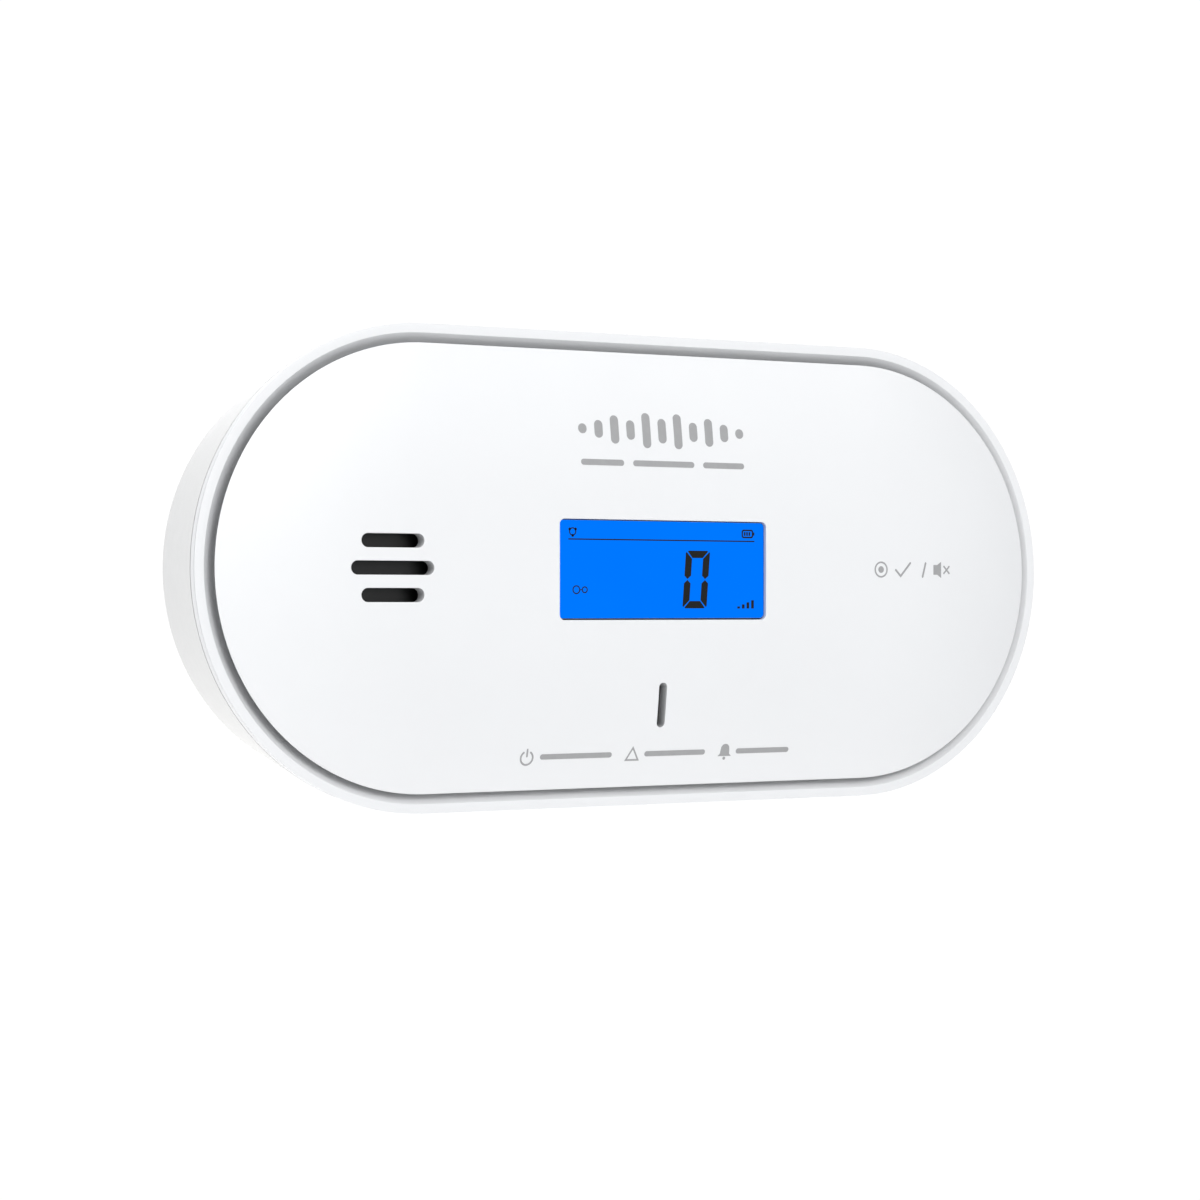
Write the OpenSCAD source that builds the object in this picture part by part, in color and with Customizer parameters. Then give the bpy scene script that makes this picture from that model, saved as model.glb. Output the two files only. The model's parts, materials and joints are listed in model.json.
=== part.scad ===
// Wall-mounted carbon monoxide detector with a rocking front plate.
// Every sub-part is drawn with x to the right, y up and z away from the wall,
// and on_wall() then turns it so that the front faces -Y and +Z is up.

/* [Outline] */
// Half of the distance between the centres of the two round ends
spine = 36.4; // [36:0.1:38]
// End radius at the front plate's edge
face_r = 30.8; // [30.6:0.1:30.9]
// End radius at the rim's inner edge
rim_in_r = 32.2; // [32:0.1:32.4]
// End radius at the rim's outer edge
rim_out_r = 33.5; // [33.4:0.1:33.8]
// End radius where the side wall meets the seam
seam_r = 33.3; // [33.2:0.1:33.4]
// End radius at the back of the side wall
back_r = 30; // [29.8:0.1:30.4]
// End radius of the plinth on the back
plinth_r = 24.4; // [24.2:0.1:24.8]
// End radius of the wall bracket
bracket_r = 24; // [23.5:0.1:24]

/* [Depths from the wall] */
// Thickness of the wall bracket
bracket_t = 3; // [2.8:0.1:3]
// Back face of the plinth
plinth_z = 3.2; // [3.2:0.1:3.3]
// Back of the side wall
shoulder_z = 9; // [8.6:0.1:9.2]
// Seam between the rear and the front housing
seam_z = 27.2; // [27:0.1:27.3]
// Front edge of the rim
rim_z = 29; // [28.9:0.1:29.1]
// Edge of the front plate
face_z = 29.5; // [29.4:0.1:29.6]
// Height of the front plate's crown above its edge
crown_h = 3.5; // [3.3:0.1:3.6]

/* [Front plate] */
// Thickness of the front plate
plate_t = 2; // [1.8:0.1:2.1]
// Width of the display window
window_w = 34.4; // [34.3:0.1:34.8]
// Height of the display window
window_h = 14; // [13.9:0.1:14.4]
// Corner radius of the display window
window_r = 0.8; // [0.6:0.05:0.8]
// Length of the middle sound slot
slot_long = 12.3; // [11:0.1:13]
// Length of the upper and lower sound slots
slot_short = 9.3; // [8:0.1:10]
// Width of a sound slot
slot_w = 1.9; // [1.6:0.1:2.2]
// Distance between sound slots
slot_pitch = 3.67; // [3.4:0.01:4]
// Length of the upright LED slot
led_slot_l = 6.35; // [6:0.05:6.6]
// Width of the upright LED slot
led_slot_w = 1.3; // [1:0.1:1.5]

/* [Wall fixing] */
// Distance between the two wall screws
screw_spacing = 72; // [71:0.5:74]
// Radius of a wall-screw hole
screw_hole_r = 2.25; // [2:0.05:2.5]

/* [Hidden] */
$fn = 96;

eps = 0.02;              // overrun of a cut past the face it opens
wall = 2;                // wall thickness of the housings
crown_power = 3;         // the crown is flat in the middle and bends near its edge
crown_steps = 14;        // straight steps that make up the crown
land_t = 0.25;           // upright land at the plate's edge
undercut = 1.9;          // how far the plate's underside draws in from its edge

floor_z = plinth_z + wall;      // inside of the plinth's floor
rebate_z = 24.5;                // bottom of the rebate that takes the front housing's lip
rebate_r = 31.9;
deck_z0 = 23.9;                 // back of the deck
deck_z1 = 25.4;                 // front of the deck
board_z0 = 21.8;                // back of the circuit board
board_z1 = 23.4;                // front of the circuit board

// hinge of the front plate, at the left end
pivot_x = -59.5;
pivot_z = 27.4;
pivot_r = 1;
pivot_lug_r = 1.7;
lug_y = 7.75;
lug_w = 3.5;
running_gap = 0.05;

// the test switch under the plate's right end
switch_x = 44.3;
plunger_top = 27.9;
plunger_r = 1.6;

// hooks that hold the right end of the plate down
catch_x = 57;
catch_y = 12;
catch_w = 6;
catch_reach = 3;

// hooks of the wall bracket: the unit lifts by lift_range to come off them
hook_x = 46.5;
hook_w = 6;
hook_neck = 2;
hook_tongue = 6;
hook_tongue_t = 1.5;
hook_tops = [8, -7];
lift_range = 7;
hook_gap = 0.1;
slot_gap = 0.4;

// battery bay
bay_x = 27.5;
bay_y = 15.2;
bay_wall = 1.4;
bay_top = 19.8;
cell_r = 7.1;
cell_y = 7.4;
cell_z = 12.4;
cell_x0 = -24.6;
cell_x1 = 24.5;
nub_l = 1.4;
nub_r = 2.7;

// battery door and its hinge along the lower edge
door_z = 4.9;
door_x = 27.2;
door_top = 15;
door_axis_y = -17.3;
door_axis_z = 4.8;
door_pin_r = 0.9;
knuckle_r = 1.5;
pocket_y = -19.3;

// screws that join the housings, and screws that hold the board
post_xy = [30, 27.2];
post_r = 2.6;
boss_r = 2.8;
boss_top = 21.8;
board_screw_xy = [34, 18.5];
board_r = 22.6;
board_spine = 30;

// sounder, sensor and LED places
sound_x = -42.9;
sensor_x = 45;
sensor_pin_xy = [[0, -5.2], [5.2, 0], [0, 5.2]];
led_y = -19.2;
led_pitch = 1.9;

function crown(d) = crown_h * (1 - pow(d / face_r, crown_power));

// ---------------------------------------------------------------- helpers

module on_wall() { rotate([90, 0, 0]) children(); }

// a solid whose cross-section [radius, z] follows the pill outline
module pill_solid(points) {
  for (turn = [0, 180])
    rotate([0, 0, turn]) translate([spine, 0, 0])
      rotate([0, 0, -90]) rotate_extrude(angle = 180) polygon(points);
  rotate([90, 0, 90]) linear_extrude(2 * spine, center = true) {
    polygon(points);
    mirror([1, 0]) polygon(points);
  }
}

module pill_plate(r, z0, z1, half = spine) {
  translate([0, 0, z0]) linear_extrude(z1 - z0) {
    square([2 * half, 2 * r], center = true);
    for (side = [-1, 1]) translate([side * half, 0]) circle(r);
  }
}

// a box from one corner to the other
module block(low, high) { translate(low) cube(high - low); }

module rod(x, y, r, z0, z1) { translate([x, y, z0]) cylinder(r = r, h = z1 - z0); }

module rod_along_x(x0, x1, y, z, r) {
  translate([x0, y, z]) rotate([0, 90, 0]) cylinder(r = r, h = x1 - x0);
}

module rod_along_y(x, y0, y1, z, r) {
  translate([x, y0, z]) rotate([-90, 0, 0]) cylinder(r = r, h = y1 - y0);
}

module rounded_rect(w, h, r) {
  square([w - 2 * r, h], center = true);
  square([w, h - 2 * r], center = true);
  for (sx = [-1, 1], sy = [-1, 1])
    translate([sx * (w / 2 - r), sy * (h / 2 - r)]) circle(r);
}

module slot_2d(length, width) {
  square([length - width, width], center = true);
  for (side = [-1, 1]) translate([side * (length - width) / 2, 0]) circle(width / 2);
}

module at_corners(xy) {
  for (sx = [-1, 1], sy = [-1, 1]) translate([sx * xy[0], sy * xy[1], 0]) children();
}

// ---------------------------------------------------------------- wall bracket

module bracket_hook(top_y) {
  x0 = hook_x - hook_w / 2;
  x1 = hook_x + hook_w / 2;
  tongue_z = floor_z + 0.2;
  block([x0, top_y - hook_neck, bracket_t - eps], [x1, top_y - hook_gap, tongue_z + hook_tongue_t]);
  block([x0, top_y - hook_neck, tongue_z], [x1, top_y + hook_tongue, tongue_z + hook_tongue_t]);
}

module wall_bracket() {
  window_top = 16.4;
  window_bottom = -19.6;
  color("white") on_wall() {
    difference() {
      pill_plate(bracket_r, 0, bracket_t);
      translate([0, (window_top + window_bottom) / 2, -eps]) linear_extrude(bracket_t + 2 * eps)
        rounded_rect(59, window_top - window_bottom, 3);
      for (side = [-1, 1]) translate([side * screw_spacing / 2, 0, 0]) {
        rod(0, 0, screw_hole_r, -eps, bracket_t);
        translate([0, 0, bracket_t - 1.6])
          cylinder(r1 = screw_hole_r, r2 = screw_hole_r + 1.95, h = 1.6 + eps);
      }
    }
    for (side = [0, 1], top_y = hook_tops) mirror([side, 0, 0]) bracket_hook(top_y);
  }
}

// ---------------------------------------------------------------- rear housing

module hook_slots() {
  for (side = [0, 1], top_y = hook_tops) mirror([side, 0, 0])
    block([hook_x - hook_w / 2 - slot_gap, top_y - lift_range - hook_neck - 0.6, plinth_z - eps],
          [hook_x + hook_w / 2 + slot_gap, top_y, floor_z + eps]);
}

module bay_walls() {
  outer_x = bay_x + bay_wall;
  difference() {
    union() {
      block([-outer_x, -bay_y - bay_wall, floor_z - eps], [outer_x, bay_y + bay_wall, bay_top + 1]);
      block([-outer_x, pocket_y - 1.2, floor_z - eps], [outer_x, -bay_y, 7.8]);
    }
    block([-bay_x, -bay_y, plinth_z - eps], [bay_x, bay_y, bay_top]);
    block([-bay_x, pocket_y, plinth_z - eps], [bay_x, -bay_y + eps, 6.6]);
    // slots in the ceiling that let the contacts' tongues reach the board
    for (side = [-1, 1], y = [-cell_y, cell_y])
      translate([side * (bay_x - 0.2), y, bay_top - eps]) linear_extrude(2) square([0.8, 3.4], center = true);
  }
  // ledges that the closed door rests on
  for (side = [0, 1]) mirror([side, 0, 0])
    block([bay_x - 1.2, -6, 5], [bay_x + eps, 6, 6]);
}

module rear_vents() {
  for (turn = [0, 180], step = [-3:3])
    rotate([0, 0, turn]) translate([spine, 0, 0]) rotate([0, 0, step * 14])
      translate([26.6, 0, shoulder_z - eps]) linear_extrude(wall + 2 * eps) slot_2d(3.6, 1.5);
}

module rear_housing() {
  inner_back_r = back_r - wall + 0.05;
  color("white") on_wall() difference() {
    union() {
      difference() {
        pill_solid([
          [0, plinth_z], [plinth_r - 0.6, plinth_z], [plinth_r, plinth_z + 0.6], [plinth_r, shoulder_z],
          [back_r - 0.6, shoulder_z], [back_r + 0.05, shoulder_z + 0.5], [seam_r, seam_z], [0, seam_z]
        ]);
        pill_solid([
          [0, floor_z], [plinth_r - wall, floor_z], [plinth_r - wall, shoulder_z + wall],
          [inner_back_r, shoulder_z + wall], [30.7, rebate_z], [rebate_r, rebate_z],
          [rebate_r, seam_z + 1], [0, seam_z + 1]
        ]);
      }
      bay_walls();
      at_corners(post_xy) rod(0, 0, boss_r, shoulder_z + 0.6, boss_top);
    }
    // opening that the door closes, with a finger notch above it
    block([-bay_x, pocket_y, plinth_z - 1], [bay_x, bay_y, floor_z + eps]);
    block([-5.4, door_top - 1, plinth_z - 1], [5.4, door_top + 1.5, floor_z - 0.1]);
    rod_along_x(-bay_x - 2, bay_x + 2, door_axis_y, door_axis_z, door_pin_r + running_gap);
    hook_slots();
    rear_vents();
    at_corners(post_xy) {
      rod(0, 0, 2.1, shoulder_z - 1, 11);
      rod(0, 0, 1.25, 10, boss_top + eps);
    }
  }
}

module battery_door() {
  color("white") on_wall() difference() {
    union() {
      block([-door_x, door_axis_y, plinth_z], [door_x, door_top, door_z]);
      rod_along_x(-door_x, door_x, door_axis_y, door_axis_z, knuckle_r);
      rod_along_x(-door_x - 1.5, door_x + 1.5, door_axis_y, door_axis_z, door_pin_r);
      block([-5, door_top - eps, plinth_z + 0.7], [5, door_top + 1.2, door_z]);
    }
    // finger grooves
    for (step = [0:3]) block([-6, 8 + step * 1.6, plinth_z - eps], [6, 8.7 + step * 1.6, plinth_z + 0.4]);
  }
}

// ---------------------------------------------------------------- front housing

module deck_openings() {
  // display holder
  block([-18.8, -8.6, deck_z0 - 1], [18.8, 8.6, deck_z1 + 1]);
  // LED shroud
  block([-3.2, -23.8, deck_z0 - 1], [3.2, -14.6, deck_z1 + 1]);
  // test switch
  block([switch_x - 4, -4, deck_z0 - 1], [switch_x + 4, 4, deck_z1 + 1]);
  // sounder leads
  rod(sound_x, 0, 5, deck_z0 - 1, deck_z1 + 1);
  // catches of the front plate
  for (side = [-1, 1])
    block([catch_x - 1.4, side * catch_y - catch_w / 2 - 0.4, deck_z0 - 1],
          [catch_x + 1.5, side * catch_y + catch_w / 2 + 0.4, deck_z1 + 1]);
  // air slots above the gas sensor
  for (side = [-1, 1], step = [0:5])
    translate([27 + step * 4, side * 12, deck_z0 - 1]) rotate([0, 0, 90]) linear_extrude(4) slot_2d(7, 1.6);
}

module front_housing() {
  color("white") on_wall() difference() {
    union() {
      difference() {
        pill_solid([
          [0, deck_z0], [30, deck_z0], [30, rebate_z + 0.2], [rebate_r - 0.1, rebate_z + 0.2],
          [rebate_r - 0.1, seam_z], [seam_r, seam_z], [rim_out_r, rim_z - 0.1],
          [rim_out_r - 0.1, rim_z], [rim_in_r, rim_z], [31, rim_z - 1.4],
          [29.6, 26], [28.6, deck_z1], [0, deck_z1]
        ]);
        deck_openings();
      }
      // posts that the housing screws bite into
      at_corners(post_xy) rod(0, 0, post_r, boss_top + 0.2, deck_z0 + eps);
      // board stand-offs and the bosses above them
      at_corners(board_screw_xy) rod(0, 0, 2.6, board_z1, 28);
      // saddle of the plate's pivot
      block([pivot_x - pivot_lug_r, -5.6, deck_z1 - eps], [pivot_x + pivot_lug_r, 5.6, pivot_z]);
      rod_along_y(pivot_x, -5.6, 5.6, pivot_z, pivot_lug_r);
    }
    at_corners(post_xy) rod(0, 0, 1.05, boss_top, 25);
    at_corners(board_screw_xy) rod(0, 0, 1.05, board_z1 - eps, 27.5);
    rod_along_y(pivot_x, -6, 6, pivot_z, pivot_r + running_gap);
  }
}

module cross_head_screw(head_r, head_z0, head_z1, shank_r, tip_z) {
  difference() {
    rod(0, 0, head_r, head_z0, head_z1);
    for (turn = [0, 90]) rotate([0, 0, turn])
      translate([0, 0, head_z0]) cube([head_r * 1.3, 0.6, 1.4], center = true);
  }
  rod(0, 0, shank_r, head_z1 - eps, tip_z);
}

module housing_screws() {
  color("silver") on_wall() at_corners(post_xy) cross_head_screw(1.9, 9.3, 10.95, 1, 24.8);
}

module board_screws() {
  color("silver") on_wall() at_corners(board_screw_xy) cross_head_screw(1.9, 20.3, 21.75, 1, 27);
}

// ---------------------------------------------------------------- front plate

module plate_shell() {
  inner_r = face_r - undercut;
  top = [for (i = [0:crown_steps]) let (d = face_r * i / crown_steps) [d, face_z + crown(d)]];
  under = [for (i = [crown_steps:-1:0]) let (d = inner_r * i / crown_steps)
    [d, face_z - plate_t + crown(d)]];
  pill_solid(concat(top, [[face_r, face_z - land_t]], under));
}

module plate_openings() {
  low = face_z - 4;
  high = 10;
  translate([0, 0, low]) linear_extrude(high) rounded_rect(window_w, window_h, window_r);
  for (row = [-1:1]) translate([sound_x, row * slot_pitch, low]) linear_extrude(high)
    slot_2d(row == 0 ? slot_long : slot_short, slot_w);
  translate([0, led_y, low]) linear_extrude(high) rotate([0, 0, 90]) slot_2d(led_slot_l, led_slot_w);
}

module plate_catch() {
  tip_x = catch_x + catch_reach;
  block([catch_x - 1, -catch_w / 2, 22.2], [catch_x + 1, catch_w / 2, 30.2]);
  translate([0, catch_w / 2, 0]) rotate([90, 0, 0]) linear_extrude(catch_w)
    polygon([[catch_x, 22.2], [catch_x + 1, 22.2], [tip_x, 23.2], [tip_x, 23.75], [catch_x, 23.75]]);
}

module front_plate() {
  color("white") on_wall() difference() {
    union() {
      difference() {
        plate_shell();
        plate_openings();
      }
      // lugs that hold the pivot pin
      for (side = [-1, 1]) {
        block([pivot_x - pivot_lug_r, side * lug_y - lug_w / 2, pivot_z],
              [pivot_x + pivot_lug_r, side * lug_y + lug_w / 2, 30.2]);
        rod_along_y(pivot_x, side * lug_y - lug_w / 2, side * lug_y + lug_w / 2, pivot_z, pivot_lug_r);
      }
      // post that presses the switch
      rod(switch_x, 0, 2.2, plunger_top + 0.1, 31.2);
      for (side = [-1, 1]) translate([0, side * catch_y, 0]) plate_catch();
    }
    rod_along_y(pivot_x, -12, 12, pivot_z, pivot_r);
  }
}

module plate_pivot_pin() {
  color("silver") on_wall() rod_along_y(pivot_x, -lug_y - lug_w / 2, lug_y + lug_w / 2, pivot_z, pivot_r);
}

// ---------------------------------------------------------------- circuit board

module circuit_board() {
  color("darkgreen") on_wall() difference() {
    pill_plate(board_r, board_z0, board_z1, board_spine);
    at_corners(board_screw_xy) rod(0, 0, 1.2, board_z0 - 1, board_z1 + 1);
    // pegs of the display holder
    for (side = [-1, 1]) rod(side * 17.5, 0, 0.9, board_z0 - 1, board_z1 + 1);
    // sensor pins
    for (pin = sensor_pin_xy) rod(sensor_x + pin[0], pin[1], 0.6, board_z0 - 1, board_z1 + 1);
    // tongues of the battery contacts
    for (side = [-1, 1], y = [-cell_y, cell_y])
      translate([side * (bay_x - 0.2), y, board_z0 - 1]) linear_extrude(4) square([0.9, 3.2], center = true);
  }
}

// ---------------------------------------------------------------- display

lcd_w = window_w - 0.2;
lcd_h = window_h - 0.2;
lcd_z0 = 29.2;
lcd_z1 = 32.3;

module lcd_holder() {
  color("whitesmoke") on_wall() difference() {
    union() {
      block([-18.6, -8.4, board_z1 + 0.05], [18.6, 8.4, 30]);
      for (side = [-1, 1]) rod(side * 17.5, 0, 0.8, board_z0 - 0.4, board_z1 + 0.1);
    }
    block([-15.7, -5.2, board_z1 - 1], [15.7, 5.2, 31]);
    for (side = [0, 1]) mirror([0, side, 0]) block([-15.6, 5.75, board_z1 - 1], [15.6, 6.75, 31]);
    block([-lcd_w / 2 - 0.05, -lcd_h / 2 - 0.05, lcd_z0], [lcd_w / 2 + 0.05, lcd_h / 2 + 0.05, 31]);
  }
}

module lcd_glass() {
  color("lightsteelblue") on_wall() translate([0, 0, lcd_z0 + 0.02]) linear_extrude(lcd_z1 - lcd_z0 - 0.04)
    rounded_rect(lcd_w, lcd_h, 0.65);
}

module lcd_polariser() {
  color("dodgerblue") on_wall() translate([0, 0, lcd_z1]) linear_extrude(0.2)
    rounded_rect(lcd_w - 0.1, lcd_h - 0.1, 0.65);
}

module lcd_light_guide() {
  color("aliceblue") on_wall() block([-15.5, -5, 25.6], [15.5, 5, lcd_z0 - 0.05]);
}

module backlight_leds() {
  color("lightyellow") on_wall() for (x = [-10, 0, 10])
    block([x - 1.75, -1.4, board_z1 + 0.02], [x + 1.75, 1.4, 25.3]);
}

module elastomer_strips() {
  color("dimgray") on_wall() for (side = [0, 1]) mirror([0, side, 0])
    block([-15.5, 5.8, board_z1 + 0.02], [15.5, 6.7, lcd_z0 - 0.02]);
}

// ---------------------------------------------------------------- test switch

module switch_body() {
  color("dimgray") on_wall() difference() {
    block([switch_x - 3.5, -3.5, board_z1 + 0.02], [switch_x + 3.5, 3.5, 26.4]);
    rod(switch_x, 0, plunger_r + running_gap, 24, 27);
  }
}

module switch_plunger() {
  color("red") on_wall() rod(switch_x, 0, plunger_r, 25.2, plunger_top);
}

// ---------------------------------------------------------------- sounder

cup_top = 29;

module sounder_cup() {
  color("black") on_wall() difference() {
    rod(sound_x, 0, 12, deck_z1 + 0.02, cup_top);
    rod(sound_x, 0, 10.8, deck_z1 - 1, 27.6);
    rod(sound_x, 0, 8.8, deck_z1 - 1, 28.1);
    rod(sound_x, 0, 2.6, 28, cup_top + 1);
  }
}

module piezo_plate() { color("goldenrod") on_wall() rod(sound_x, 0, 10.4, 27.25, 27.55); }

module piezo_ceramic() { color("ivory") on_wall() rod(sound_x, 0, 7.5, 26.98, 27.23); }

module sounder_foam_ring() {
  color("dimgray") on_wall() difference() {
    rod(sound_x, 0, 10.6, deck_z1 + 0.02, 27.2);
    rod(sound_x, 0, 8.8, deck_z1 - 1, 28);
  }
}

module sounder_leads() {
  color("firebrick") on_wall() for (side = [-1, 1]) rod(sound_x + side * 3, 0, 0.5, board_z1 + 0.02, 26.95);
}

// film that keeps dust out of the sound hole
module sounder_membrane() {
  color("black") on_wall() rod(sound_x, 0, 8, cup_top + 0.02, cup_top + 0.25);
}

// ---------------------------------------------------------------- gas sensor

module sensor_can() {
  color("silver") on_wall() difference() {
    rod(sensor_x, 0, 7.5, 10, 20.7);
    rod(sensor_x, 0, 6.9, 11.2, 21);
    rod(sensor_x, 0, 2, 9, 12);
  }
}

module sensor_filter_cap() {
  color("white") on_wall() difference() {
    rod(sensor_x, 0, 6.8, 11.3, 14);
    rod(sensor_x, 0, 1.2, 11, 12.6);
  }
}

module sensor_base() { color("black") on_wall() rod(sensor_x, 0, 6.85, 18.6, 21.7); }

module sensor_pins() {
  color("gold") on_wall() for (pin = sensor_pin_xy)
    rod(sensor_x + pin[0], pin[1], 0.5, 21.72, board_z1 + 0.3);
}

// ---------------------------------------------------------------- status LEDs

module status_led(place, tint) {
  color(tint) on_wall() {
    y = led_y + place * led_pitch;
    block([-0.9, y - 0.6, board_z1 + 0.02], [0.9, y + 0.6, 24]);
    rod(0, y, 0.5, 24 - eps, 24.4);
  }
}

module led_green() { status_led(1, "limegreen"); }

module led_yellow() { status_led(0, "gold"); }

module led_red() { status_led(-1, "red"); }

module led_light_bar() {
  color("aliceblue") on_wall() translate([0, led_y, 24.6]) linear_extrude(3.8) rotate([0, 0, 90])
    slot_2d(led_slot_l + 0.4, 2.4);
}

module led_shroud() {
  color("black") on_wall() difference() {
    block([-3, led_y - 4.3, board_z1 + 0.02], [3, led_y + 4.3, 28.6]);
    translate([0, led_y, board_z1 - 1]) linear_extrude(8) rotate([0, 0, 90]) slot_2d(led_slot_l + 0.6, 2.6);
  }
}

// ---------------------------------------------------------------- cells and contacts

module battery_cell() {
  color("darkslategray") on_wall() {
    rod_along_x(cell_x0, cell_x1, 0, cell_z, cell_r);
    rod_along_x(cell_x1 - eps, cell_x1 + nub_l, 0, cell_z, nub_r);
  }
}

module battery_upper() { translate([0, 0, cell_y]) battery_cell(); }

module battery_lower() { mirror([1, 0, 0]) translate([0, 0, -cell_y]) battery_cell(); }

// a bent leaf that stands off the end wall by reach, with its backing and board tongue
module contact_leaf(y, reach) {
  x = bay_x - 0.02;
  block([x - 0.4, y - 5, 8], [x, y + 5, bay_top - 0.1]);
  block([x - 0.4, y - 1.5, bay_top - 0.2], [x, y + 1.5, board_z1 + 0.2]);
  translate([0, y + 2, 0]) rotate([90, 0, 0]) linear_extrude(4)
    polygon([[x - 0.4 + eps, 17], [x - reach, cell_z + 0.6], [x - reach, cell_z - 0.6], [x - 0.4 + eps, 8.6],
             [x - 0.4 + eps, 9.1], [x - reach + 0.4, cell_z - 0.5], [x - reach + 0.4, cell_z + 0.5],
             [x - 0.4 + eps, 16.5]]);
}

cap_reach = bay_x - cell_x1 - nub_l - 0.04;
can_reach = bay_x + cell_x0 - 0.04;

module contact_positive() { color("silver") on_wall() contact_leaf(cell_y, cap_reach); }

module contact_negative() { color("silver") on_wall() contact_leaf(-cell_y, can_reach); }

module contact_bridge() {
  color("silver") on_wall() mirror([1, 0, 0]) {
    contact_leaf(-cell_y, cap_reach);
    contact_leaf(cell_y, can_reach);
    block([bay_x - 0.42, -cell_y, 8.2], [bay_x - 0.02, cell_y, 10.2]);
  }
}

// ---------------------------------------------------------------- board components

module chip(x, y, w, h, t) {
  block([x - w / 2, y - h / 2, board_z0 - t], [x + w / 2, y + h / 2, board_z0 - 0.15]);
  for (side = [-1, 1], step = [-3:3])
    block([x + side * (w / 2 + 0.5) - 0.5, y + step * h / 8 - 0.15, board_z0 - 0.45],
          [x + side * (w / 2 + 0.5) + 0.5, y + step * h / 8 + 0.15, board_z0 - 0.02]);
}

module microcontroller() { color("black") on_wall() chip(-41, 10, 7, 7, 1.4); }

module display_driver() { color("black") on_wall() chip(-36.5, -1.5, 5, 6, 1.4); }

module capacitors() {
  color("midnightblue") on_wall() {
    rod(-42, -10.5, 4, 9.3, board_z0 - 0.02);
    rod(39, -13.5, 3, 10.8, board_z0 - 0.02);
  }
}

module sounder_coil() {
  coil_x = -46.6;
  color("black") on_wall() {
    rod(coil_x, 0, 4, board_z0 - 1.2, board_z0 - 0.02);
    rod(coil_x, 0, 2.4, 15.2, board_z0 - 1);
    rod(coil_x, 0, 4, 14, 15.3);
  }
}

module crystal() {
  color("silver") on_wall() translate([-33.5, 8, board_z0 - 3.5]) linear_extrude(3.48)
    rotate([0, 0, 90]) slot_2d(10, 3.6);
}

module chip_components() {
  color("saddlebrown") on_wall() {
    for (step = [0:7]) translate([-20 + step * 5.2, 19.6, board_z0 - 0.62]) cube([2, 1.25, 0.6]);
    for (step = [0:5]) translate([-14 + step * 6, -20.8, board_z0 - 0.62]) cube([2, 1.25, 0.6]);
  }
}

// ---------------------------------------------------------------- the whole

wall_bracket();
rear_housing();
battery_door();
front_housing();
housing_screws();
front_plate();
plate_pivot_pin();
circuit_board();
board_screws();
lcd_holder();
lcd_glass();
lcd_polariser();
lcd_light_guide();
backlight_leds();
elastomer_strips();
switch_body();
switch_plunger();
sounder_cup();
piezo_plate();
piezo_ceramic();
sounder_foam_ring();
sounder_leads();
sounder_membrane();
sensor_can();
sensor_filter_cap();
sensor_base();
sensor_pins();
led_green();
led_yellow();
led_red();
led_light_bar();
led_shroud();
battery_upper();
battery_lower();
contact_bridge();
contact_positive();
contact_negative();
microcontroller();
display_driver();
capacitors();
sounder_coil();
crystal();
chip_components();
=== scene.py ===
import json
import math
import bmesh
import bpy
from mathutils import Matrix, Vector
from mathutils.geometry import delaunay_2d_cdt


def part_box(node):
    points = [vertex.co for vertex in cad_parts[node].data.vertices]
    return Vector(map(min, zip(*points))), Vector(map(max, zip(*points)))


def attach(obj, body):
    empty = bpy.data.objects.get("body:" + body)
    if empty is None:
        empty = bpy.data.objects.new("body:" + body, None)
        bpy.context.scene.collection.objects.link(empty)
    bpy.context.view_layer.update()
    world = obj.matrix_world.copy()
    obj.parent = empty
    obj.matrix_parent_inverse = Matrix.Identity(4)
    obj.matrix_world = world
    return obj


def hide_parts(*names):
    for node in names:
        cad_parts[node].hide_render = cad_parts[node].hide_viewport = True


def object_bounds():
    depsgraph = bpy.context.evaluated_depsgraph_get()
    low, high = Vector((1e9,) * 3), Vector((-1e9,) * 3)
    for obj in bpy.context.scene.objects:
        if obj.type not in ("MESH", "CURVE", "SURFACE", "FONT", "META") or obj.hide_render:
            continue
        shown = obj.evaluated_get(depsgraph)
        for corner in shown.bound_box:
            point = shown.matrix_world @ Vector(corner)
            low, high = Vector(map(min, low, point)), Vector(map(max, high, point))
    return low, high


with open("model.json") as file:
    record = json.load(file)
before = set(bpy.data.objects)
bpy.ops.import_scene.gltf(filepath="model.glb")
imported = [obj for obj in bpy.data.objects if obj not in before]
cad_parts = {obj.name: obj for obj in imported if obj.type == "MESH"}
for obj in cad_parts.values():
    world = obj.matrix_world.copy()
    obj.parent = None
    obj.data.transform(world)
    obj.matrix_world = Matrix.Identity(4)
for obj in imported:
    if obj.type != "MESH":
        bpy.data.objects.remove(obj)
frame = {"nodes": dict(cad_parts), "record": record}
cad_low, cad_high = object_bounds()

# Shapes are drawn in millimetres with x to the right, y up and z out from the wall. at() turns such a
# point into the row frame, where the front faces -Y and +Z is up.
MM = 0.001
WELD = 1e-7                             # metres: corners of a new mesh closer than this are one
CUT_WELD = 1e-6                         # the same for a mesh that has been cut


def at(x, y, z):
    return Vector((x * MM, -z * MM, y * MM))


def node_box(name):
    """A node's lowest and highest corner in the drawing's axes."""
    low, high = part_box(name)
    return Vector((low.x, low.z, -high.y)) / MM, Vector((high.x, high.z, -low.y)) / MM


# ---------------- sizes, from the frame

plate_high = node_box("front_plate")[1]
front_high = node_box("front_housing")[1]
rear_low, rear_high = node_box("rear_housing")
bracket_high = node_box("wall_bracket")[1]
glass_low, glass_high = node_box("lcd_glass")
film_low, film_high = node_box("lcd_polariser")
cup_low, cup_high = node_box("sounder_cup")
bar_low, bar_high = node_box("led_light_bar")
switch_low, switch_high = node_box("switch_body")

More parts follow.
